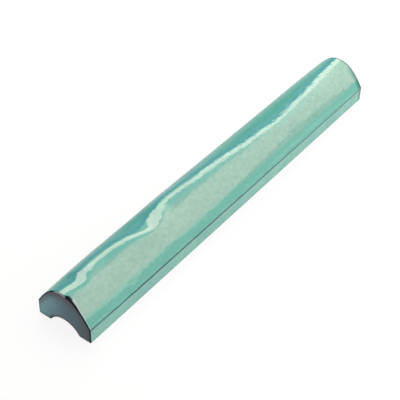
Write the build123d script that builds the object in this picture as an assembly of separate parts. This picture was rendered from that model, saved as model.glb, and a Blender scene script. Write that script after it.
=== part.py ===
"""Pencil liner tile: one pressed and glazed ceramic trim piece.

A crowned bead stands on upright sides and two flat feet, with an arched hollow between the feet that keys into
the adhesive. The tile lies along X, its width is Y and its bedding plane is z = 0, with the origin in the middle.
"""

import os
from math import cos, radians, sin

from build123d import *

# Driving dimensions in millimetres
LENGTH = 150.0
WIDTH = 20.0
HEIGHT = 13.8
SIDE_HEIGHT = 5.5
CROWN_RADIUS = 7.5
FOOT_WIDTH = 4.5
ARCH_HEIGHT = 3.3

# How far the round of the crown goes to each side of the top before the flanks flatten, in degrees
CROWN_ANGLE = 43.0

# Edges as pressing and glazing leave them, in millimetres
END_EASE = 0.4
FOOT_EASE = 0.4
ARCH_EASE = 0.6


def corners_at(sketch, y):
    """The two corners on the bedding plane that lie at y to either side."""
    reach = 0.01
    return [v for v in sketch.vertices() if abs(v.Y) < reach and abs(abs(v.X) - y) < reach]


def tile_section():
    """Section in Y and Z: a round crown that runs into flatter flanks, upright sides, two feet and the arch."""
    side = WIDTH / 2
    arch_foot = side - FOOT_WIDTH
    lean = radians(CROWN_ANGLE)
    crown_end = CROWN_RADIUS * sin(lean)
    crown_drop = CROWN_RADIUS * (1 - cos(lean))
    flank_top = HEIGHT - crown_drop
    with BuildSketch() as section:
        with BuildLine():
            ThreePointArc((crown_end, flank_top), (0, HEIGHT), (-crown_end, flank_top))
            TangentArc((crown_end, flank_top), (side, SIDE_HEIGHT), tangent=(cos(lean), -sin(lean)))
            TangentArc((-crown_end, flank_top), (-side, SIDE_HEIGHT), tangent=(-cos(lean), -sin(lean)))
            Polyline((side, SIDE_HEIGHT), (side, 0), (arch_foot, 0))
            Polyline((-side, SIDE_HEIGHT), (-side, 0), (-arch_foot, 0))
            ThreePointArc((arch_foot, 0), (0, ARCH_HEIGHT), (-arch_foot, 0))
        make_face()
        fillet(corners_at(section, side), FOOT_EASE)
        fillet(corners_at(section, arch_foot), ARCH_EASE)
    return section.sketch


def pencil_liner():
    """The section drawn out to the tile's length, with the rims of both ends rolled over by the glaze."""
    plain = extrude(Plane.YZ * tile_section(), amount=LENGTH / 2, both=True)
    ends = plain.faces().filter_by(Axis.X)
    return plain.fillet(END_EASE, ends.edges())


os.makedirs("parts", exist_ok=True)
export_step(pencil_liner(), "parts/pencil_liner.step")
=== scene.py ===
# %% [markdown]
# A pencil liner tile and its portrait
#
# A pencil liner is a slim trim tile: one strip of clay, pressed through a die, cut to length, glazed and
# fired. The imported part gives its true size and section. This script keeps that size and adds what the
# hand and the kiln add: a crest that wanders, thick pooled glaze, dark lines where the glaze pulls thin
# over an edge, and slate ends.

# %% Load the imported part
import math

import bpy
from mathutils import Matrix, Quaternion, Vector


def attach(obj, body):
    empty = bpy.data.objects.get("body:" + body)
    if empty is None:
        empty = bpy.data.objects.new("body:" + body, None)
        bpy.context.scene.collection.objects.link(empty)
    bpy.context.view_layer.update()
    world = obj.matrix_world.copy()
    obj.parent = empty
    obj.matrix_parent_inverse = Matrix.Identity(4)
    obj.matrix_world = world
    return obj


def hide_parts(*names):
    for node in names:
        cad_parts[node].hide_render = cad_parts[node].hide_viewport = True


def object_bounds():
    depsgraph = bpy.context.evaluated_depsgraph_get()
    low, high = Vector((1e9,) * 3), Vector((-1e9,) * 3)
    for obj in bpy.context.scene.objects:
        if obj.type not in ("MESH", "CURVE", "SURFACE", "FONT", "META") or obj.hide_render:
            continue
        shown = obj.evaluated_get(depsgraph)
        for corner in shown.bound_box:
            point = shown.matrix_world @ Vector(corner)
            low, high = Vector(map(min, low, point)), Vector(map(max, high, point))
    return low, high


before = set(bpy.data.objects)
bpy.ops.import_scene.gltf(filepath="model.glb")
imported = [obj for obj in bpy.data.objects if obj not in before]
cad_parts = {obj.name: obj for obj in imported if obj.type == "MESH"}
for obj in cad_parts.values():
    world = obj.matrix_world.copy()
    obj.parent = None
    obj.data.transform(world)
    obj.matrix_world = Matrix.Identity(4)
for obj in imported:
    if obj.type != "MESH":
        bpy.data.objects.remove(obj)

MM = 0.001
cad_low, cad_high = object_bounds()
cad_size = cad_high - cad_low
print("CAD box in mm", [round(side / MM, 2) for side in cad_size])

# %% [markdown]
# The camera
#
# The picture was taken from above one end, a little to the side, with a long lens. The place, the target
# and the lens were fitted to the tile's corners and outlines, so the render can be laid over the picture.
# The camera leans by two degrees, which is a turn about its own line of sight.

# %% Camera
EYE = Vector((-231.5, -158.1, 246.95)) * MM
TARGET = Vector((-11.34, -1.16, 6.0)) * MM
LENS_MM = 101.7
LEAN = math.radians(2.02)
NEAREST_SEEN = 0.01

bpy.ops.object.camera_add(location=EYE)
camera = bpy.context.object
camera.name = "portrait_camera"
camera.data.lens = LENS_MM
camera.data.clip_start = NEAREST_SEEN
camera.rotation_mode = "QUATERNION"
sight = (TARGET - EYE).to_track_quat("-Z", "Y")
camera.rotation_quaternion = sight @ Quaternion((0, 0, 1), LEAN)
bpy.context.scene.camera = camera
print("camera stands", round((TARGET - EYE).length / MM), "mm from the tile")

# %% [markdown]
# The section
#
# A liner has the same section all along, so the natural way to model it is to draw half the section as a
# string of edges, mirror it and draw it out along the length, just as the die does with the clay.
# A single point is the pencil: spin swings it round a centre to make an arc, and extrude pulls it along a
# straight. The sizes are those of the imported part.

# %% Sizes of the section, in millimetres
LENGTH = cad_size.x / MM
HALF_WIDTH = cad_size.y / MM / 2
HEIGHT = cad_size.z / MM
SIDE_HEIGHT = 5.5
CROWN_RADIUS = 7.5
CROWN_ANGLE = math.radians(43.0)
ARCH_HALF_WIDTH = 5.5
ARCH_HEIGHT = 3.3
FOOT_EASE = 0.4
ARCH_EASE = 0.6
END_EASE = 0.4
run = LENGTH - 2 * END_EASE
ring_start = -LENGTH / 2 + END_EASE
print("straight run between the rolled rims", round(run, 2), "mm")

# %% The pencil: one point at the top of the crown
def arc(centre_y, centre_z, angle, steps):
    """Swings the selected point round a centre in the section; a positive angle turns +Y towards +Z."""
    centre = (ring_start * MM, centre_y * MM, centre_z * MM)
    bpy.ops.mesh.spin(steps=steps, angle=angle, center=centre, axis=(-1, 0, 0))


def straight(along_y, along_z, steps):
    """Pulls the selected point along a straight, in equal steps."""
    stride = (0, along_y * MM / steps, along_z * MM / steps)
    for _ in range(steps):
        bpy.ops.mesh.extrude_vertices_move(TRANSFORM_OT_translate={"value": stride})


bpy.ops.object.select_all(action="DESELECT")
bpy.ops.mesh.primitive_plane_add(size=MM)
liner = bpy.context.object
liner.name = "glazed_liner"
bpy.ops.object.mode_set(mode="EDIT")
bpy.ops.mesh.select_mode(type="VERT")
bpy.ops.mesh.merge(type="CENTER")
bpy.ops.transform.translate(value=(ring_start * MM, 0, HEIGHT * MM))
print("the pencil starts", round(HEIGHT, 2), "mm up")

# %% Crown and flank
CROWN_STEPS, FLANK_STEPS = 18, 24

crown_centre = HEIGHT - CROWN_RADIUS
outward = Vector((math.sin(CROWN_ANGLE), math.cos(CROWN_ANGLE)))
crown_end = outward * CROWN_RADIUS + Vector((0, crown_centre))
shoulder = Vector((HALF_WIDTH, SIDE_HEIGHT))
chord = shoulder - crown_end
flank_radius = -chord.length_squared / (2 * chord.dot(outward))
flank_centre = crown_end - outward * flank_radius
reach = shoulder - flank_centre
flank_angle = math.atan2(reach.x, reach.y) - CROWN_ANGLE

arc(0, crown_centre, -CROWN_ANGLE, CROWN_STEPS)
arc(flank_centre.x, flank_centre.y, -flank_angle, FLANK_STEPS)
print("flank radius", round(flank_radius, 2), "mm, turning", round(math.degrees(flank_angle), 1), "degrees")

# %% Side, foot and arch
SIDE_STEPS, EASE_STEPS, FOOT_STEPS, ARCH_STEPS = 8, 5, 4, 12

arch_centre = (ARCH_HEIGHT**2 - ARCH_HALF_WIDTH**2) / (2 * ARCH_HEIGHT)
arch_radius = ARCH_HEIGHT - arch_centre
ease_rise = ARCH_EASE - arch_centre
ease_y = math.sqrt((arch_radius + ARCH_EASE) ** 2 - ease_rise**2)
ease_angle = math.atan2(ease_y, ease_rise)

straight(0, FOOT_EASE - SIDE_HEIGHT, SIDE_STEPS)
arc(HALF_WIDTH - FOOT_EASE, FOOT_EASE, -math.pi / 2, EASE_STEPS)
straight(ease_y - (HALF_WIDTH - FOOT_EASE), 0, FOOT_STEPS)
arc(ease_y, ARCH_EASE, -ease_angle, EASE_STEPS)
arc(0, arch_centre, ease_angle, ARCH_STEPS)
bpy.ops.object.mode_set(mode="OBJECT")
last = liner.data.vertices[-1].co / MM
print(len(liner.data.vertices), "points in half the section, ending at", [round(c, 3) for c in last])

# %% Mirror the half section
SEAM = 0.01

mirror = liner.modifiers.new("other_half", "MIRROR")
mirror.use_axis = (False, True, False)
mirror.merge_threshold = SEAM * MM
bpy.ops.object.modifier_apply(modifier=mirror.name)
print(len(liner.data.vertices), "points in the whole section,", len(liner.data.edges), "edges")

# %% [markdown]
# Drawing it out
#
# The string of edges is drawn out to the full length at once and then cut into short bays by two rounds
# of subdividing. The bays are under half a millimetre, because the wavering glaze is real shape here, and
# a mirror-like surface shows every flat facet.
# The ends are then closed and inset in four steps that step out as they step in, which rolls the rim over.

# %% Draw the section out
BAYS = 4
RINGS_IN_A_BAY = 81
# A tenth of a millimetre, to tell one place from another
HAIR = 0.1

bpy.ops.object.mode_set(mode="EDIT")
bpy.ops.mesh.select_mode(type="EDGE")
bpy.ops.mesh.select_all(action="SELECT")
bpy.ops.mesh.extrude_edges_move(TRANSFORM_OT_translate={"value": (run * MM, 0, 0)})
for cuts in (BAYS - 1, RINGS_IN_A_BAY - 1):
    bpy.ops.mesh.select_all(action="DESELECT")
    bpy.ops.object.mode_set(mode="OBJECT")
    places = liner.data.vertices
    for edge in liner.data.edges:
        start, stop = [places[index].co.x for index in edge.vertices]
        edge.select = abs(stop - start) > HAIR * MM
    bpy.ops.object.mode_set(mode="EDIT")
    bpy.ops.mesh.subdivide(number_cuts=cuts)
bpy.ops.object.mode_set(mode="OBJECT")
print(len(liner.data.vertices), "points,", round(run / BAYS / RINGS_IN_A_BAY, 3), "mm from ring to ring")

# %% Close the ends and roll their rims
ROLL_STEPS = 4
# The insets leave a few points of each foot's corner on one spot, within 0.005 mm, and those are merged.
# The next points are 0.027 mm away, so they stay.
ONE_SPOT = 0.015


def select_where(keep):
    """Selects only the vertices whose place, in millimetres, passes the test."""
    bpy.ops.object.mode_set(mode="EDIT")
    bpy.ops.mesh.select_mode(type="VERT")
    bpy.ops.mesh.select_all(action="DESELECT")
    bpy.ops.object.mode_set(mode="OBJECT")
    for vertex in liner.data.vertices:
        vertex.select = keep(vertex.co / MM)
    bpy.ops.object.mode_set(mode="EDIT")


for side in (-1, 1):
    select_where(lambda place: place.x * side > run / 2 - HAIR)
    bpy.ops.mesh.edge_face_add()
    bpy.ops.mesh.select_mode(type="FACE")
    for step in range(ROLL_STEPS):
        before = math.pi / 2 * step / ROLL_STEPS
        after = math.pi / 2 * (step + 1) / ROLL_STEPS
        inward = END_EASE * (math.cos(before) - math.cos(after)) * MM
        forward = END_EASE * (math.sin(after) - math.sin(before)) * MM
        bpy.ops.mesh.inset(thickness=inward, depth=forward)
bpy.ops.mesh.select_all(action="SELECT")
bpy.ops.mesh.remove_doubles(threshold=ONE_SPOT * MM)
bpy.ops.mesh.normals_make_consistent(inside=False)
bpy.ops.object.mode_set(mode="OBJECT")
box = [[f(v.co[axis] for v in liner.data.vertices) / MM for axis in range(3)] for f in (min, max)]
print(len(liner.data.polygons), "faces, box", [[round(c, 2) for c in corner] for corner in box])

# %% [markdown]
# The wandering crest
#
# A die makes a straight crown, but wet clay handled on a board and thick glaze that runs do not stay
# straight. The crest of this liner wanders by two or three millimetres to each side, the bright line of a
# lamp follows it, and the back of the crown swells a little between the ends.
# Proportional editing would do it push by push, but the pushes leave scallops. A lattice is a soft cage:
# its points move, and the clay inside follows smoothly. The flanks follow only the slow part of the
# wander. The crest itself rolls over where it stands, with a short reach beyond it and a long reach back
# to the middle, and soft flats are sunk beside it. The lowest layer of the cage stays where it is.

# %% Where the crest runs
# Stations along the tile and the crest's place across it, in millimetres
CREST = (
    (-75, 0.8), (-71, 0.3), (-68, -0.1), (-65, 1.3), (-60, 1.9), (-52, 1.5), (-47, 0.6), (-42.5, -0.7),
    (-38, -1.9), (-35, -1.3), (-31, 0.7), (-26, 2.4), (-20, 2.3), (-12, 1.5), (-4, 0.9), (4, 0.0),
    (14, -1.5), (24, -2.3), (32, -2.9), (42, -2.3), (54, -1.5), (62, -0.4), (75, 0.4),
)
# The slow part of that wander, which the flanks follow
SLOW = ((-75, 0.8), (-56, 1.3), (-38, 0.6), (-22, 1.1), (5, -0.4), (35, -1.5), (55, -1.0), (75, 0.2))


def follow(line, station):
    """The place across at a station, on a smooth line through the given points."""
    k = max(i for i in range(len(line) - 1) if i == 0 or line[i][0] <= station)
    (x0, y0), (x1, y1) = line[k], line[k + 1]
    before, after = line[max(k - 1, 0)], line[min(k + 2, len(line) - 1)]
    leave = (y1 - before[1]) / (x1 - before[0]) * (x1 - x0)
    arrive = (after[1] - y0) / (after[0] - x0) * (x1 - x0)
    t = (station - x0) / (x1 - x0)
    return (
        y0 * (1 + 2 * t) * (1 - t) ** 2 + y1 * t * t * (3 - 2 * t)
        + leave * t * (1 - t) ** 2 - arrive * t * t * (1 - t)
    )


print("crest every 25 mm", [round(follow(CREST, station), 2) for station in range(-75, 76, 25)])

# %% A cage around the crown
CAGE_POINTS = (101, 17, 7)

bpy.ops.object.add(type="LATTICE", location=(0, 0, (HEIGHT + SIDE_HEIGHT) / 2 * MM))
cage = bpy.context.object
cage_size = Vector((LENGTH, 2 * HALF_WIDTH, HEIGHT - SIDE_HEIGHT))
cage.scale = cage_size * MM
cage.data.points_u, cage.data.points_v, cage.data.points_w = CAGE_POINTS
for way in "uvw":
    setattr(cage.data, "interpolation_type_" + way, "KEY_CATMULL_ROM")
print(len(cage.data.points), "points in the cage")

# %% Move the points of the cage
SHORT_REACH, LONG_REACH = 4.5, 9.0
BACK_SWELL = 0.95
# Soft flats: station, place behind the crest, reach along, reach across and depth, in millimetres
FLATS = (
    (-66, -0.2, 3, 3, 0.2), (-52, -3.2, 13, 3.2, 0.15),
    (-33, 0.4, 5, 3.5, 0.3), (-35, -2.8, 5, 3.2, -0.2),
)


def bell(distance, reach):
    """A soft bell that is one at distance zero and nothing at its reach."""
    return max(1 - (distance / reach) ** 2, 0) ** 2


for point in cage.data.points:
    station, across = point.co.x * cage_size.x, point.co.y * cage_size.y
    rise = point.co.z + 0.5
    above_the_side = min(CAGE_POINTS[2] * rise, 1)
    slow = follow(SLOW, station)
    sideways = slow * (1 - abs(across) / HALF_WIDTH) * above_the_side
    between_ends = 1 - (2 * station / LENGTH) ** 4
    swell = BACK_SWELL * between_ends * 4 * rise * (1 - rise) * max(across / HALF_WIDTH, 0)
    crest = follow(CREST, station) - slow
    off_crest = across - crest
    beyond = off_crest * crest > 0
    roll = crest / math.sqrt(CROWN_RADIUS**2 - crest**2) * off_crest
    roll *= bell(off_crest, SHORT_REACH if beyond else LONG_REACH)
    sunk = sum(
        deep * bell(station - x, long) * bell(off_crest - y, wide) for x, y, long, wide, deep in FLATS
    )
    point.co_deform.y += (sideways + swell) / cage_size.y
    point.co_deform.z += (roll - sunk) * above_the_side / cage_size.z
print(len(FLATS), "flats, a swell of", BACK_SWELL, "mm at the back")

# %% Let the clay follow the cage
bend = liner.modifiers.new("wandering_crest", "LATTICE")
bend.object = cage
bpy.ops.object.select_all(action="DESELECT")
bpy.context.view_layer.objects.active = liner
liner.select_set(True)
bpy.ops.object.modifier_apply(modifier=bend.name)
bpy.data.objects.remove(cage)
right_half = [vertex.co / MM for vertex in liner.data.vertices if vertex.co.x > 0]
top = max(right_half, key=lambda place: place.z)
print("highest point of the right half", [round(c, 2) for c in top])

# %% [markdown]
# Ripples in the glaze
#
# A brushed or dipped glaze never lies quite level. Two displacements of a few hundredths of a millimetre,
# one in long waves and one in short ripples, are too small to see as shape, but they make the edge of
# every reflection ragged. They only go inwards, so the tile keeps its size, and only on the crown.
# The vertex group is given by its name, because applying a modifier renews the mesh and its groups.

# %% Ripple the crown
CROWN = "crown"
RIPPLED_FROM = SIDE_HEIGHT + 0.5
# Name, length of a wave and depth, in millimetres
RIPPLES = (("long_waves", 7.0, 0.07), ("short_ripples", 0.8, 0.07))

on_the_crown = [v.index for v in liner.data.vertices if v.co.z > RIPPLED_FROM * MM]
liner.vertex_groups.new(name=CROWN).add(on_the_crown, 1.0, "REPLACE")
for name, wave, depth in RIPPLES:
    clouds = bpy.data.textures.new(name, "CLOUDS")
    clouds.noise_scale = wave * MM
    clouds.noise_depth = 1
    ripple = liner.modifiers.new(name, "DISPLACE")
    ripple.texture = clouds
    ripple.texture_coords = "LOCAL"
    ripple.strength = depth * MM
    ripple.mid_level = 1.0
    ripple.vertex_group = CROWN
    bpy.ops.object.modifier_apply(modifier=ripple.name)
liner.vertex_groups.clear()
print("top after the ripples", round(max(v.co.z for v in liner.data.vertices) / MM, 3), "mm")

# %% [markdown]
# A note for the glaze
#
# The finish follows the crest, so each point notes how far behind the crest it lies, and the bands of the
# glaze then wander with the crest. Over the broad flat the glaze lies thick and hides the deep colour
# behind the crest, so the note is set back there.

# %% Note the place behind the crest
# The thick glaze: its station, its reach along and how far back it covers, in millimetres
THICK_STATION, THICK_REACH, THICK_GLAZE = -36.0, 7.0, 1.8

behind_the_crest = liner.data.attributes.new("behind_the_crest", "FLOAT", "POINT")
notes = []
for vertex in liner.data.vertices:
    place = vertex.co / MM
    covered = THICK_GLAZE * bell(place.x - THICK_STATION, THICK_REACH)
    notes.append(place.y - follow(CREST, place.x) - covered)
behind_the_crest.data.foreach_set("value", notes)
print("noted", len(notes), "places, from", round(min(notes), 1), "to", round(max(notes), 1), "mm")

# %% [markdown]
# Stage and light
#
# The tile was photographed on white under soft lamps. The floor is matt white paper. To the camera and in
# reflections it mostly glows an even white, as paper under studio lamps does, and the rest of it is lit,
# so that it keeps the tile's soft shadow.
# A broad softbox in front, leaning over the tile, gives the pale band along the crown. A second panel
# closes the gap to the narrow strip behind, over the far half only, and the strip gives the bright line on
# the crest. A weak fill stands by the camera, so that the side and the near end are not black.

# %% Helpers for colours and materials
# Settings that many nodes share: a soft step and a mix of colours
SOFT = {"interpolation_type": "SMOOTHSTEP"}
COLOURS = {"data_type": "RGBA"}


def linear(hex_colour):
    """An sRGB colour such as 7fb5a8 as the linear colour that Blender computes with."""
    channels = [int(hex_colour[i : i + 2], 16) / 255 for i in (0, 2, 4)]
    return [c / 12.92 if c <= 0.04045 else ((c + 0.055) / 1.055) ** 2.4 for c in channels] + [1.0]


def add(tree, kind, inputs=None, **settings):
    """Adds a node: settings are its own properties, inputs are values, sockets or nodes that feed it."""
    made = tree.nodes.new(kind)
    for name, value in settings.items():
        setattr(made, name, value)
    for name, value in (inputs or {}).items():
        if isinstance(value, bpy.types.Node):
            value = next(socket for socket in value.outputs if socket.enabled)
        if isinstance(value, bpy.types.NodeSocket):
            tree.links.new(value, made.inputs[name])
        else:
            made.inputs[name].default_value = value
    return made


def new_material(name):
    """An empty node material; returns it with its node tree."""
    material = bpy.data.materials.new(name)
    material.use_nodes = True
    material.node_tree.nodes.clear()
    return material, material.node_tree


print("7fb5a8 is", [round(c, 3) for c in linear("7fb5a8")], "to Blender")

# %% Floor
FLOOR_SIZE = 6
FLOOR_DROP = 0.02
GLOW_SHARE = 0.88

bpy.ops.mesh.primitive_plane_add(size=FLOOR_SIZE, location=(0, 0, -FLOOR_DROP * MM))
floor = bpy.context.object
floor.name = "white_sweep"
paper, tree = new_material("matt white paper")
rays = add(tree, "ShaderNodeLightPath").outputs
seen = add(
    tree, "ShaderNodeMath", {0: rays["Is Camera Ray"], 1: rays["Is Glossy Ray"]}, operation="MAXIMUM"
)
seen = add(tree, "ShaderNodeMath", {0: seen, 1: rays["Is Transmission Ray"]}, operation="MAXIMUM")
share = add(tree, "ShaderNodeMath", {0: seen, 1: GLOW_SHARE}, operation="MULTIPLY")
matt = add(tree, "ShaderNodeBsdfDiffuse", {"Color": linear("ededed")})
glow = add(tree, "ShaderNodeEmission", {"Color": linear("ffffff"), "Strength": 1.0})
mixed = add(tree, "ShaderNodeMixShader", {"Fac": share, 1: matt, 2: glow})
add(tree, "ShaderNodeOutputMaterial", {"Surface": mixed})
floor.data.materials.append(paper)
print("a floor of", paper.name, FLOOR_SIZE, "m wide")

# %% Lamps
WARM = linear("fff4ec")
# Name, place along, front edge and back edge as (y, z), width, all in metres, and radiance
SOFTBOXES = (
    ("front_softbox", 0.40, (-0.575, 0.19), (-0.045, 0.52), 0.90, 2.4),
    ("far_panel", 0.78, (-0.045, 0.52), (0.18, 0.52), 0.64, 2.4),
    ("back_strip", 0.45, (0.185, 0.52), (0.44, 0.39), 0.80, 6.2),
)

for name, x, front, back, width, radiance in SOFTBOXES:
    front, back = Vector(front), Vector(back)
    centre, slope = (front + back) / 2, back - front
    lean = math.atan2(slope.y, slope.x)
    bpy.ops.object.light_add(type="AREA", location=(x, centre.x, centre.y), rotation=(lean, 0, 0))
    lamp = bpy.context.object
    lamp.name = name
    lamp.data.shape = "RECTANGLE"
    lamp.data.size, lamp.data.size_y = width, slope.length
    lamp.data.energy = radiance * math.pi * width * slope.length
    lamp.data.color = WARM[:3]
    print(name, "gives", round(lamp.data.energy, 2), "watts")

# %% Fill and air
FILL_PLACE = (-0.45, -0.55, 0.45)
FILL_SIZE = 0.5
FILL_WATTS = 1.5
AIR_GLOW = 0.25

bpy.ops.object.light_add(type="AREA", location=FILL_PLACE)
fill = bpy.context.object
fill.name = "camera_fill"
fill.data.size = FILL_SIZE
fill.data.energy = FILL_WATTS
fill.rotation_mode = "QUATERNION"
fill.rotation_quaternion = (-fill.location).to_track_quat("-Z", "Y")

scene = bpy.context.scene
scene.view_settings.view_transform = "Standard"
scene.world = bpy.data.worlds.new("studio_air")
scene.world.use_nodes = True
sky = scene.world.node_tree.nodes["Background"]
sky.inputs["Color"].default_value = linear("ffffff")
sky.inputs["Strength"].default_value = AIR_GLOW
print(fill.name, "gives", FILL_WATTS, "watts, the air glows at", AIR_GLOW)

# %% [markdown]
# Pooled turquoise glaze
#
# A thick glossy glaze over a dark body. On the front of the crown it is milky mint with sandy specks, and
# the pale band there is partly a painted reflection of the front softbox. Just behind the crest it runs
# thin and deep blue-green, and towards the back it turns greener again. Along sharp edges it breaks so thin
# that the body shows as a dark line. The gloss is that of glass, a little uneven. A picture laid on the
# tile could show all this, but bands that are worked out from the place on the tile stay sharp at any size.
# They follow the note of the crest, so that they wander with it.
# All places, heights and widths are in millimetres.

# %% Glaze: pools of turquoise
# Thicker and thinner pools, some seven millimetres across
POOL = 7


def place_in_mm(tree):
    """The place on the tile in millimetres, from Object coordinates, which are in metres."""
    here = add(tree, "ShaderNodeTexCoord").outputs["Object"]
    return add(tree, "ShaderNodeMapping", {"Vector": here, "Scale": (1 / MM, 1 / MM, 1 / MM)})


glaze, tree = new_material("pooled turquoise glaze")
place = place_in_mm(tree)
along, across, up = add(tree, "ShaderNodeSeparateXYZ", {0: place}).outputs
behind = add(tree, "ShaderNodeAttribute", attribute_name="behind_the_crest").outputs["Fac"]
pools = add(
    tree, "ShaderNodeTexNoise", {"Vector": place, "Scale": 1 / POOL, "Detail": 4.0, "Roughness": 0.6}
)
turquoise = add(tree, "ShaderNodeValToRGB", {"Fac": pools})
for stop, (where, shade) in zip(turquoise.color_ramp.elements, ((0.3, "5fa39d"), (0.7, "72b1a6"))):
    stop.position, stop.color = where, linear(shade)
print("pools of", POOL, "mm")

# %% Glaze: greener low on the flank
# The milky part and its painted reflection end on the flank, a little lower at the far end than at the near
# one
FALL = 0.7 / LENGTH

on_flank = add(tree, "ShaderNodeMath", {0: along, 1: FALL, 2: up}, operation="MULTIPLY_ADD")
low_down = add(tree, "ShaderNodeMapRange", {"Value": on_flank, "From Min": 9.2, "From Max": 8.2}, **SOFT)
above_the_line = add(tree, "ShaderNodeMapRange", {"Value": up, "From Min": SIDE_HEIGHT, "From Max": 7.0})
low_down = add(tree, "ShaderNodeMath", {0: low_down, 1: above_the_line}, operation="MULTIPLY")
colour = add(tree, "ShaderNodeMix", {"Factor": low_down, "A": turquoise, "B": linear("68aa9e")}, **COLOURS)
print("the milky part ends", round(FALL * LENGTH, 2), "mm lower at the far end")

# %% Glaze: milky on the front of the crown, with a painted reflection of the front softbox
# The milk is a fine curdle, drawn 1.4 mm wide, coarser than the real one, so that it shows
CURDLE = 1.4
# In the far half the milk and its painted reflection come this much closer to the crest
CLOSER = 1.9

closer = add(
    tree, "ShaderNodeMapRange", {"Value": along, "From Min": -8.0, "From Max": 20.0, "To Max": CLOSER}
)
off_crest = add(tree, "ShaderNodeMath", {0: behind, 1: closer}, operation="SUBTRACT")
# Milky glaze in front of the crest, and in the same band a painted reflection of the front softbox, down to
# the band's lower edge on the flank
milky_and_reflected = add(tree, "ShaderNodeMapRange", {"Value": off_crest, "From Min": -1.2, "From Max": -3.8}, **SOFT)
band_lower_edge = add(tree, "ShaderNodeMapRange", {"Value": on_flank, "From Min": 8.1, "From Max": 8.9}, **SOFT)
milk_and_painted_reflection = add(tree, "ShaderNodeMath", {0: milky_and_reflected, 1: band_lower_edge}, operation="MULTIPLY")
curdle = add(
    tree, "ShaderNodeTexNoise", {"Vector": place, "Scale": 1 / CURDLE, "Detail": 5.0, "Roughness": 0.7}
)
cream_and_reflection = add(tree, "ShaderNodeValToRGB", {"Fac": curdle})
for stop, (where, shade) in zip(cream_and_reflection.color_ramp.elements, ((0.3, "6fa095"), (0.7, "87b2a9"))):
    stop.position, stop.color = where, linear(shade)
colour = add(tree, "ShaderNodeMix", {"Factor": milk_and_painted_reflection, "A": colour, "B": cream_and_reflection}, **COLOURS)
print("milk with a curdle of", CURDLE, "mm")

# %% Glaze: thin behind the crest, greener at the back
at_the_back = add(
    tree, "ShaderNodeMapRange", {"Value": behind, "From Min": 2.5, "From Max": 5.0, "To Max": 0.68}, **SOFT
)
colour = add(tree, "ShaderNodeMix", {"Factor": at_the_back, "A": colour, "B": linear("3f9588")}, **COLOURS)
over_the_top = add(tree, "ShaderNodeMapRange", {"Value": behind, "From Min": 0.7, "From Max": 1.8}, **SOFT)
greener = add(
    tree, "ShaderNodeMapRange",
    {"Value": behind, "From Min": 6.0, "From Max": 1.0, "To Min": 0.1, "To Max": 0.85}, **SOFT,
)
thin = add(tree, "ShaderNodeMath", {0: over_the_top, 1: greener}, operation="MULTIPLY")
colour = add(tree, "ShaderNodeMix", {"Factor": thin, "A": colour, "B": linear("3c9096")}, **COLOURS)
print(len(tree.nodes), "nodes for the bands")

# %% Glaze: sandy specks
# Pale grains 1.5 mm apart and dark ones 2.2 mm apart, a few tenths of a millimetre wide. The real ones are
# finer and closer, and these are as coarse as it takes to show.
# Distance apart, colour and strength
SPECKS = ((1.5, "c9d6c6", 0.3), (2.2, "4f8983", 0.35))
# Half the width of a grain, whole and with its soft edge, as a share of the distance apart
GRAIN, GRAIN_EDGE = 0.07, 0.13

for apart, shade, strength in SPECKS:
    grains = add(tree, "ShaderNodeTexVoronoi", {"Vector": place, "Scale": 1 / apart})
    speck = add(
        tree, "ShaderNodeMapRange",
        {"Value": grains, "From Min": GRAIN, "From Max": GRAIN_EDGE, "To Min": strength, "To Max": 0.0},
    )
    colour = add(tree, "ShaderNodeMix", {"Factor": speck, "A": colour, "B": linear(shade)}, **COLOURS)
    print("specks", apart, "mm apart, about", round(2 * GRAIN * apart, 2), "mm wide")

# %% [markdown]
# The dark line along the shoulder
#
# Where the crown meets the upright side, the glaze pulls back from the crease and leaves a hair of dark
# body. The line wavers a little, starts higher and weaker at the near end, and fades towards the far end.
# It could be a groove, but on the tile it is colour alone, so it is painted by height.

# %% Glaze: the line along the shoulder
# The length of a waver along the line, its depth, and half the line's width, dark and with its soft edge
WAVER, WAVER_DEPTH = 5, 0.35
LINE_DARK, LINE_EDGE = 0.24, 0.44

waver = add(
    tree, "ShaderNodeTexNoise", {"W": along, "Scale": 1 / WAVER, "Detail": 2.0}, noise_dimensions="1D"
)
height = add(
    tree, "ShaderNodeMapRange",
    {"Value": along, "From Min": -74.0, "From Max": -55.0, "To Min": 5.6, "To Max": 5.35},
)
height = add(tree, "ShaderNodeMath", {0: waver, 1: -WAVER_DEPTH, 2: height}, operation="MULTIPLY_ADD")
off_line = add(tree, "ShaderNodeMath", {0: up, 1: height}, operation="SUBTRACT")
off_line = add(tree, "ShaderNodeMath", {0: off_line}, operation="ABSOLUTE")
fading = add(
    tree, "ShaderNodeMapRange",
    {"Value": along, "From Min": -75.0, "From Max": 75.0, "To Min": 1.0, "To Max": 0.6},
)
near_start = add(
    tree, "ShaderNodeMapRange",
    {"Value": along, "From Min": -70.0, "From Max": -48.0, "To Min": 0.62, "To Max": 1.0},
)
fading = add(tree, "ShaderNodeMath", {0: fading, 1: near_start}, operation="MINIMUM")
line = add(
    tree, "ShaderNodeMapRange",
    {"Value": off_line, "From Min": LINE_DARK, "From Max": LINE_EDGE, "To Min": fading, "To Max": 0.0},
)
off_middle = add(tree, "ShaderNodeMath", {0: across}, operation="ABSOLUTE")
at_the_side = add(
    tree, "ShaderNodeMapRange",
    {"Value": off_middle, "From Min": HALF_WIDTH - 0.4, "From Max": HALF_WIDTH - 0.2},
)
line = add(tree, "ShaderNodeMath", {0: line, 1: at_the_side}, operation="MULTIPLY")
colour = add(tree, "ShaderNodeMix", {"Factor": line, "A": colour, "B": linear("1d3534")}, **COLOURS)
print("a line", round(2 * LINE_DARK, 2), "mm wide,", len(tree.nodes), "nodes so far")
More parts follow.
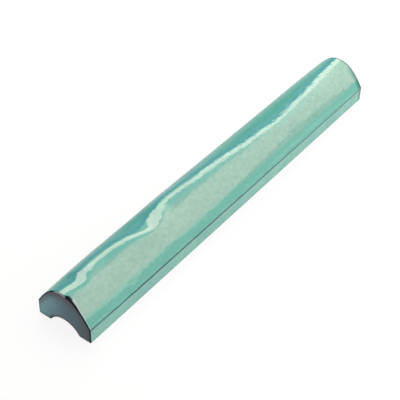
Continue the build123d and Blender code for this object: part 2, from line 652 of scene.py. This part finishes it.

# %% [markdown]
# The rims of the ends
#
# At both cut ends the glaze runs thin over the rim and shows the dark body. At the near end it has also
# gathered in a dark pool just in front of the crest. Below the pool is a pale edge, partly thin glaze and
# partly a painted sheen, and over the crown the rolled rim carries a painted highlight. How far the dark
# goes in changes across the tile, which a curve gives better than a formula.

# %% Glaze: how far the dark goes in at the near rim
# Place behind the crest and how far the dark goes in there
NEAR_RIM = (
    (-10, 0.3), (-7.5, 0.4), (-5, 0.75), (-3.9, 0.85), (-2.9, 1.3), (-1.9, 1.15), (-1.1, 0.5),
    (3, 0.35), (10, 0.35),
)

spread = add(tree, "ShaderNodeMapRange", {"Value": behind, "From Min": -HALF_WIDTH, "From Max": HALF_WIDTH})
half_in = add(tree, "ShaderNodeFloatCurve", {"Value": spread})
dots = half_in.mapping.curves[0].points
while len(dots) < len(NEAR_RIM):
    dots.new(0.5, 0.5)
# The curve ends at one, so it holds half of what the dark goes in
for dot, (side_place, dark_in) in zip(dots, NEAR_RIM):
    dot.location = ((side_place / HALF_WIDTH + 1) / 2, dark_in / 2)
half_in.mapping.update()
from_near_end = add(tree, "ShaderNodeMath", {0: along, 1: LENGTH / 2}, operation="ADD")
near_rim = add(tree, "ShaderNodeMath", {0: from_near_end, 1: half_in}, operation="DIVIDE")
print(len(dots), "dots on the curve of the near rim")

# %% Glaze: pale edge below the pool, thin glaze and a painted sheen
# Partly thin glaze over the rim and partly a painted sheen: a grey-lilac strip just in from the near rim
thin_edge_and_sheen = add(
    tree, "ShaderNodeMapRange",
    {"Value": near_rim, "From Min": 2.2, "From Max": 4.2, "To Min": 0.75, "To Max": 0.0},
)
below_the_pool = add(
    tree, "ShaderNodeMapRange", {"Value": behind, "From Min": -2.6, "From Max": -4.0}, **SOFT
)
thin_edge_and_sheen = add(tree, "ShaderNodeMath", {0: thin_edge_and_sheen, 1: below_the_pool}, operation="MULTIPLY")
colour = add(tree, "ShaderNodeMix", {"Factor": thin_edge_and_sheen, "A": colour, "B": linear("a3b6bb")}, **COLOURS)
print(len(tree.nodes), "nodes so far")

# %% Glaze: deeper green at the far end, on the front
from_far_end = add(tree, "ShaderNodeMath", {0: LENGTH / 2, 1: along}, operation="SUBTRACT")
far_edge = add(
    tree, "ShaderNodeMapRange",
    {"Value": from_far_end, "From Min": 3.2, "From Max": 0.8, "To Max": 0.9}, **SOFT,
)
on_the_front = add(
    tree, "ShaderNodeMapRange", {"Value": behind, "From Min": -3.0, "From Max": -7.0}, **SOFT
)
far_edge = add(tree, "ShaderNodeMath", {0: far_edge, 1: on_the_front}, operation="MULTIPLY")
colour = add(tree, "ShaderNodeMix", {"Factor": far_edge, "A": colour, "B": linear("35837c")}, **COLOURS)
print(len(tree.nodes), "nodes so far")

# %% Glaze: dark rims and the painted highlight on the near rim
FAR_RIM = 0.55

near_dark = add(
    tree, "ShaderNodeMapRange",
    {"Value": near_rim, "From Min": 1.5, "From Max": 2.2, "To Min": 1.0, "To Max": 0.0},
)
far_dark = add(
    tree, "ShaderNodeMapRange",
    {"Value": from_far_end, "From Min": FAR_RIM / 2, "From Max": 2 * FAR_RIM, "To Min": 0.9, "To Max": 0.0},
)
dark = add(tree, "ShaderNodeMath", {0: near_dark, 1: far_dark}, operation="MAXIMUM")
colour = add(tree, "ShaderNodeMix", {"Factor": dark, "A": colour, "B": linear("0b2022")}, **COLOURS)
# A painted highlight: the rolled rim of the near end, over the crown, is made pale where a lamp would
# glance off it
painted_rim_highlight = add(
    tree, "ShaderNodeMapRange",
    {"Value": from_near_end, "From Min": 0.15, "From Max": 0.35, "To Min": 0.9, "To Max": 0.0},
)
by_the_top = add(tree, "ShaderNodeMapRange", {"Value": behind, "From Min": -2.0, "From Max": -1.2}, **SOFT)
past_the_top = add(tree, "ShaderNodeMapRange", {"Value": behind, "From Min": 3.5, "From Max": 1.5}, **SOFT)
painted_rim_highlight = add(tree, "ShaderNodeMath", {0: painted_rim_highlight, 1: by_the_top}, operation="MULTIPLY")
painted_rim_highlight = add(tree, "ShaderNodeMath", {0: painted_rim_highlight, 1: past_the_top}, operation="MULTIPLY")
colour = add(tree, "ShaderNodeMix", {"Factor": painted_rim_highlight, "A": colour, "B": linear("b6b6c0")}, **COLOURS)
print("dark goes in up to", max(dark_in for _, dark_in in NEAR_RIM), "mm at the near rim")

# %% [markdown]
# The gloss
#
# Fired glaze is glass, so its index of refraction is 1.52 and it is almost smooth. It is duller towards
# the back, where it is thin and dry, and hardly shines where the body is bare. Its skin has the faint
# dimples of an orange peel, most of all along the crest of the far half, which break up the bright line.
# The line is the mirror image of a lamp, so bumps are enough for that.

# %% Glaze: where it is dry or bare
# Patches of different smoothness, some four millimetres across
PATCH = 4

patch = add(tree, "ShaderNodeTexNoise", {"Vector": place, "Scale": 1 / PATCH, "Detail": 2.0})
dry = add(tree, "ShaderNodeMapRange", {"Value": behind, "From Min": 2.0, "From Max": 5.5})
dry_back = add(tree, "ShaderNodeMapRange", {"Value": across, "From Min": 2.4, "From Max": 4.0})
dry = add(tree, "ShaderNodeMath", {0: dry, 1: dry_back}, operation="MAXIMUM")
sheen = add(tree, "ShaderNodeMapRange", {"Value": patch, "To Min": 0.04, "To Max": 0.10})
sheen = add(tree, "ShaderNodeMath", {0: dry, 1: 0.16, 2: sheen}, operation="MULTIPLY_ADD")
polish = add(
    tree, "ShaderNodeMapRange",
    {"Value": along, "From Min": -20.0, "From Max": 30.0, "To Min": 0.5, "To Max": 0.43},
)
shine = add(tree, "ShaderNodeMapRange", {"Value": dry, "To Min": polish, "To Max": 0.06})
bare = add(tree, "ShaderNodeMath", {0: dark, 1: line}, operation="MAXIMUM")
glazed = add(tree, "ShaderNodeMapRange", {"Value": bare, "To Min": 1.0, "To Max": 0.12})
shine = add(tree, "ShaderNodeMath", {0: shine, 1: glazed}, operation="MULTIPLY")
print("smoothness in patches of", PATCH, "mm")

# %% Glaze: orange peel and the finished shader
# The dimples, drawn 1.2 mm wide and deeper than real ones, so that they show
DIMPLE, DIMPLE_DEPTH = 1.2, 0.14
GLASS_IOR = 1.52

skin = add(tree, "ShaderNodeTexNoise", {"Vector": place, "Scale": 1 / DIMPLE, "Detail": 2.0})
ragged = add(
    tree, "ShaderNodeMapRange",
    {"Value": along, "From Min": -40.0, "From Max": 10.0, "To Min": 0.25, "To Max": 0.75},
)
by_the_crest = add(
    tree, "ShaderNodeMapRange",
    {"Value": behind, "From Min": -4.5, "From Max": -1.5, "To Min": 0.12, "To Max": 1.0},
)
ragged = add(tree, "ShaderNodeMath", {0: ragged, 1: by_the_crest}, operation="MULTIPLY")
orange_peel = add(
    tree, "ShaderNodeBump", {"Height": skin, "Strength": ragged, "Distance": DIMPLE_DEPTH * MM}
)
gloss = add(
    tree, "ShaderNodeBsdfPrincipled",
    {
        "Base Color": colour, "Roughness": sheen, "IOR": GLASS_IOR, "Specular IOR Level": shine,
        "Specular Tint": linear("ffe2d4"), "Normal": orange_peel,
    },
)
add(tree, "ShaderNodeOutputMaterial", {"Surface": gloss})
print(glaze.name, "has", len(tree.nodes), "nodes")

# %% [markdown]
# Ends and back
#
# The cut ends caught only a thin wash of glaze: slate grey and browner along the crown, with the edges of
# the arch, the feet and the flanks worn dark. Towards the far foot the wash is painted lighter and bluer,
# as painted light falling from that side. It is dull, with a fine grit.
# The bedding side is bare fired clay, dull and gritty, so that adhesive can grip it, with pale grains of
# ground brick in the clay.

# %% Slate wash on the cut ends
# Clouds in the wash, some three millimetres across
WASH_CLOUD = 3

ends, tree = new_material("thin slate glaze on the cut ends")
place = place_in_mm(tree)
_, across, up = add(tree, "ShaderNodeSeparateXYZ", {0: place}).outputs
cloud = add(
    tree, "ShaderNodeTexNoise", {"Vector": place, "Scale": 1 / WASH_CLOUD, "Detail": 4.0, "Roughness": 0.6}
)
# Painted light: the wash gets lighter and bluer towards the far foot (+Y), as if lit from that side, with
# clouds in it
uneven = add(tree, "ShaderNodeMath", {0: cloud, 1: 3.0, 2: across}, operation="MULTIPLY_ADD")
cloud_and_painted_light = add(tree, "ShaderNodeMapRange", {"Value": uneven, "From Min": -8.0, "From Max": 10.0})
slate = add(tree, "ShaderNodeValToRGB", {"Fac": cloud_and_painted_light})
slate.color_ramp.elements.new(0.5)
for stop, shade in zip(slate.color_ramp.elements, ("2b424c", "476777", "6b9ea8")):
    stop.color = linear(shade)
browner = add(
    tree, "ShaderNodeMapRange", {"Value": up, "From Min": 8.5, "From Max": 13.0, "To Max": 0.85}, **SOFT
)
colour = add(tree, "ShaderNodeMix", {"Factor": browner, "A": slate, "B": linear("3f4246")}, **COLOURS)
print(len(slate.color_ramp.elements), "shades of slate")

# %% Worn edges of the ends
section = add(tree, "ShaderNodeCombineXYZ", {"Y": across, "Z": up})
from_arch = add(tree, "ShaderNodeVectorMath", {0: section, 1: (0, 0, arch_centre)}, operation="DISTANCE")
arch_edge = add(
    tree, "ShaderNodeMapRange",
    {"Value": from_arch, "From Min": arch_radius + 0.4, "From Max": arch_radius + 1.4,
     "To Min": 0.9, "To Max": 0.0},
)
foot_edge = add(
    tree, "ShaderNodeMapRange",
    {"Value": up, "From Min": 0.4, "From Max": 0.9, "To Min": 0.75, "To Max": 0.0},
)
worn = add(tree, "ShaderNodeMath", {0: arch_edge, 1: foot_edge}, operation="MAXIMUM")
colour = add(tree, "ShaderNodeMix", {"Factor": worn, "A": colour, "B": linear("182428")}, **COLOURS)
off_middle = add(tree, "ShaderNodeMath", {0: across}, operation="ABSOLUTE")
half_section = add(tree, "ShaderNodeCombineXYZ", {"Y": off_middle, "Z": up})
from_flank = add(
    tree, "ShaderNodeVectorMath", {0: half_section, 1: (0, flank_centre.x, flank_centre.y)},
    operation="DISTANCE",
)
flank_edge = add(
    tree, "ShaderNodeMapRange",
    {"Value": from_flank, "From Min": flank_radius - 2.4, "From Max": flank_radius - 0.4, "To Max": 0.7},
    **SOFT,
)
colour = add(tree, "ShaderNodeMix", {"Factor": flank_edge, "A": colour, "B": linear("34353b")}, **COLOURS)
print(len(tree.nodes), "nodes so far")

# %% Grit of the ends
GRIT, GRIT_DEPTH = 0.5, 0.04

grit = add(tree, "ShaderNodeTexNoise", {"Vector": place, "Scale": 1 / GRIT, "Detail": 3.0})
pitted = add(tree, "ShaderNodeBump", {"Height": grit, "Strength": 1.0, "Distance": GRIT_DEPTH * MM})
dull = add(tree, "ShaderNodeMapRange", {"Value": grit, "To Min": 0.4, "To Max": 0.65})
wash = add(tree, "ShaderNodeBsdfPrincipled", {"Base Color": colour, "Roughness": dull, "Normal": pitted})
add(tree, "ShaderNodeOutputMaterial", {"Surface": wash})
print(ends.name, "has", len(tree.nodes), "nodes")

# %% Bare clay on the bedding side
# Clouds of lighter clay, ground brick and roughness, in millimetres
CLAY_CLOUD, BRICK_APART, ROUGH, ROUGH_DEPTH = 6, 1.4, 0.8, 0.12

clay, tree = new_material("bare fired clay")
place = place_in_mm(tree)
cloud = add(
    tree, "ShaderNodeTexNoise", {"Vector": place, "Scale": 1 / CLAY_CLOUD, "Detail": 5.0, "Roughness": 0.65}
)
body = add(tree, "ShaderNodeValToRGB", {"Fac": cloud})
for stop, (where, shade) in zip(body.color_ramp.elements, ((0.3, "4a4643"), (0.7, "6f6861"))):
    stop.position, stop.color = where, linear(shade)
brick = add(tree, "ShaderNodeTexVoronoi", {"Vector": place, "Scale": 1 / BRICK_APART})
grain = add(
    tree, "ShaderNodeMapRange",
    {"Value": brick, "From Min": 0.12, "From Max": 0.2, "To Min": 0.5, "To Max": 0.0},
)
colour = add(tree, "ShaderNodeMix", {"Factor": grain, "A": body, "B": linear("9a9184")}, **COLOURS)
rough = add(tree, "ShaderNodeTexNoise", {"Vector": place, "Scale": 1 / ROUGH, "Detail": 4.0})
gritty = add(tree, "ShaderNodeBump", {"Height": rough, "Strength": 1.0, "Distance": ROUGH_DEPTH * MM})
bisque = add(tree, "ShaderNodeBsdfPrincipled", {"Base Color": colour, "Roughness": 0.9, "Normal": gritty})
add(tree, "ShaderNodeOutputMaterial", {"Surface": bisque})
print(clay.name, "has", len(tree.nodes), "nodes")

# %% [markdown]
# The finished tile
#
# The glaze goes on every face, then the cut ends and the bedding side get their own finish, told apart by
# the way they face. The rolled rims stay glazed. Smooth shading stops at the crease of the shoulder, and
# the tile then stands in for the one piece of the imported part.

# %% Lay the three finishes on the faces
SQUARE_END = 0.99
FACING_DOWN = -0.5

for material in (glaze, ends, clay):
    liner.data.materials.append(material)
for face in liner.data.polygons:
    if abs(face.normal.x) > SQUARE_END:
        face.material_index = 1
    elif face.normal.z < FACING_DOWN and abs(face.center.x / MM) < run / 2:
        face.material_index = 2
print("faces per finish", [sum(f.material_index == i for f in liner.data.polygons) for i in range(3)])

# %% Shade, ride and stand for the CAD node
CREASE = math.radians(30)

bpy.ops.object.select_all(action="DESELECT")
bpy.context.view_layer.objects.active = liner
liner.select_set(True)
bpy.ops.object.shade_smooth_by_angle(angle=CREASE)
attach(liner, "root")
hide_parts("pencil_liner")
print(liner.name, "stands for pencil_liner")
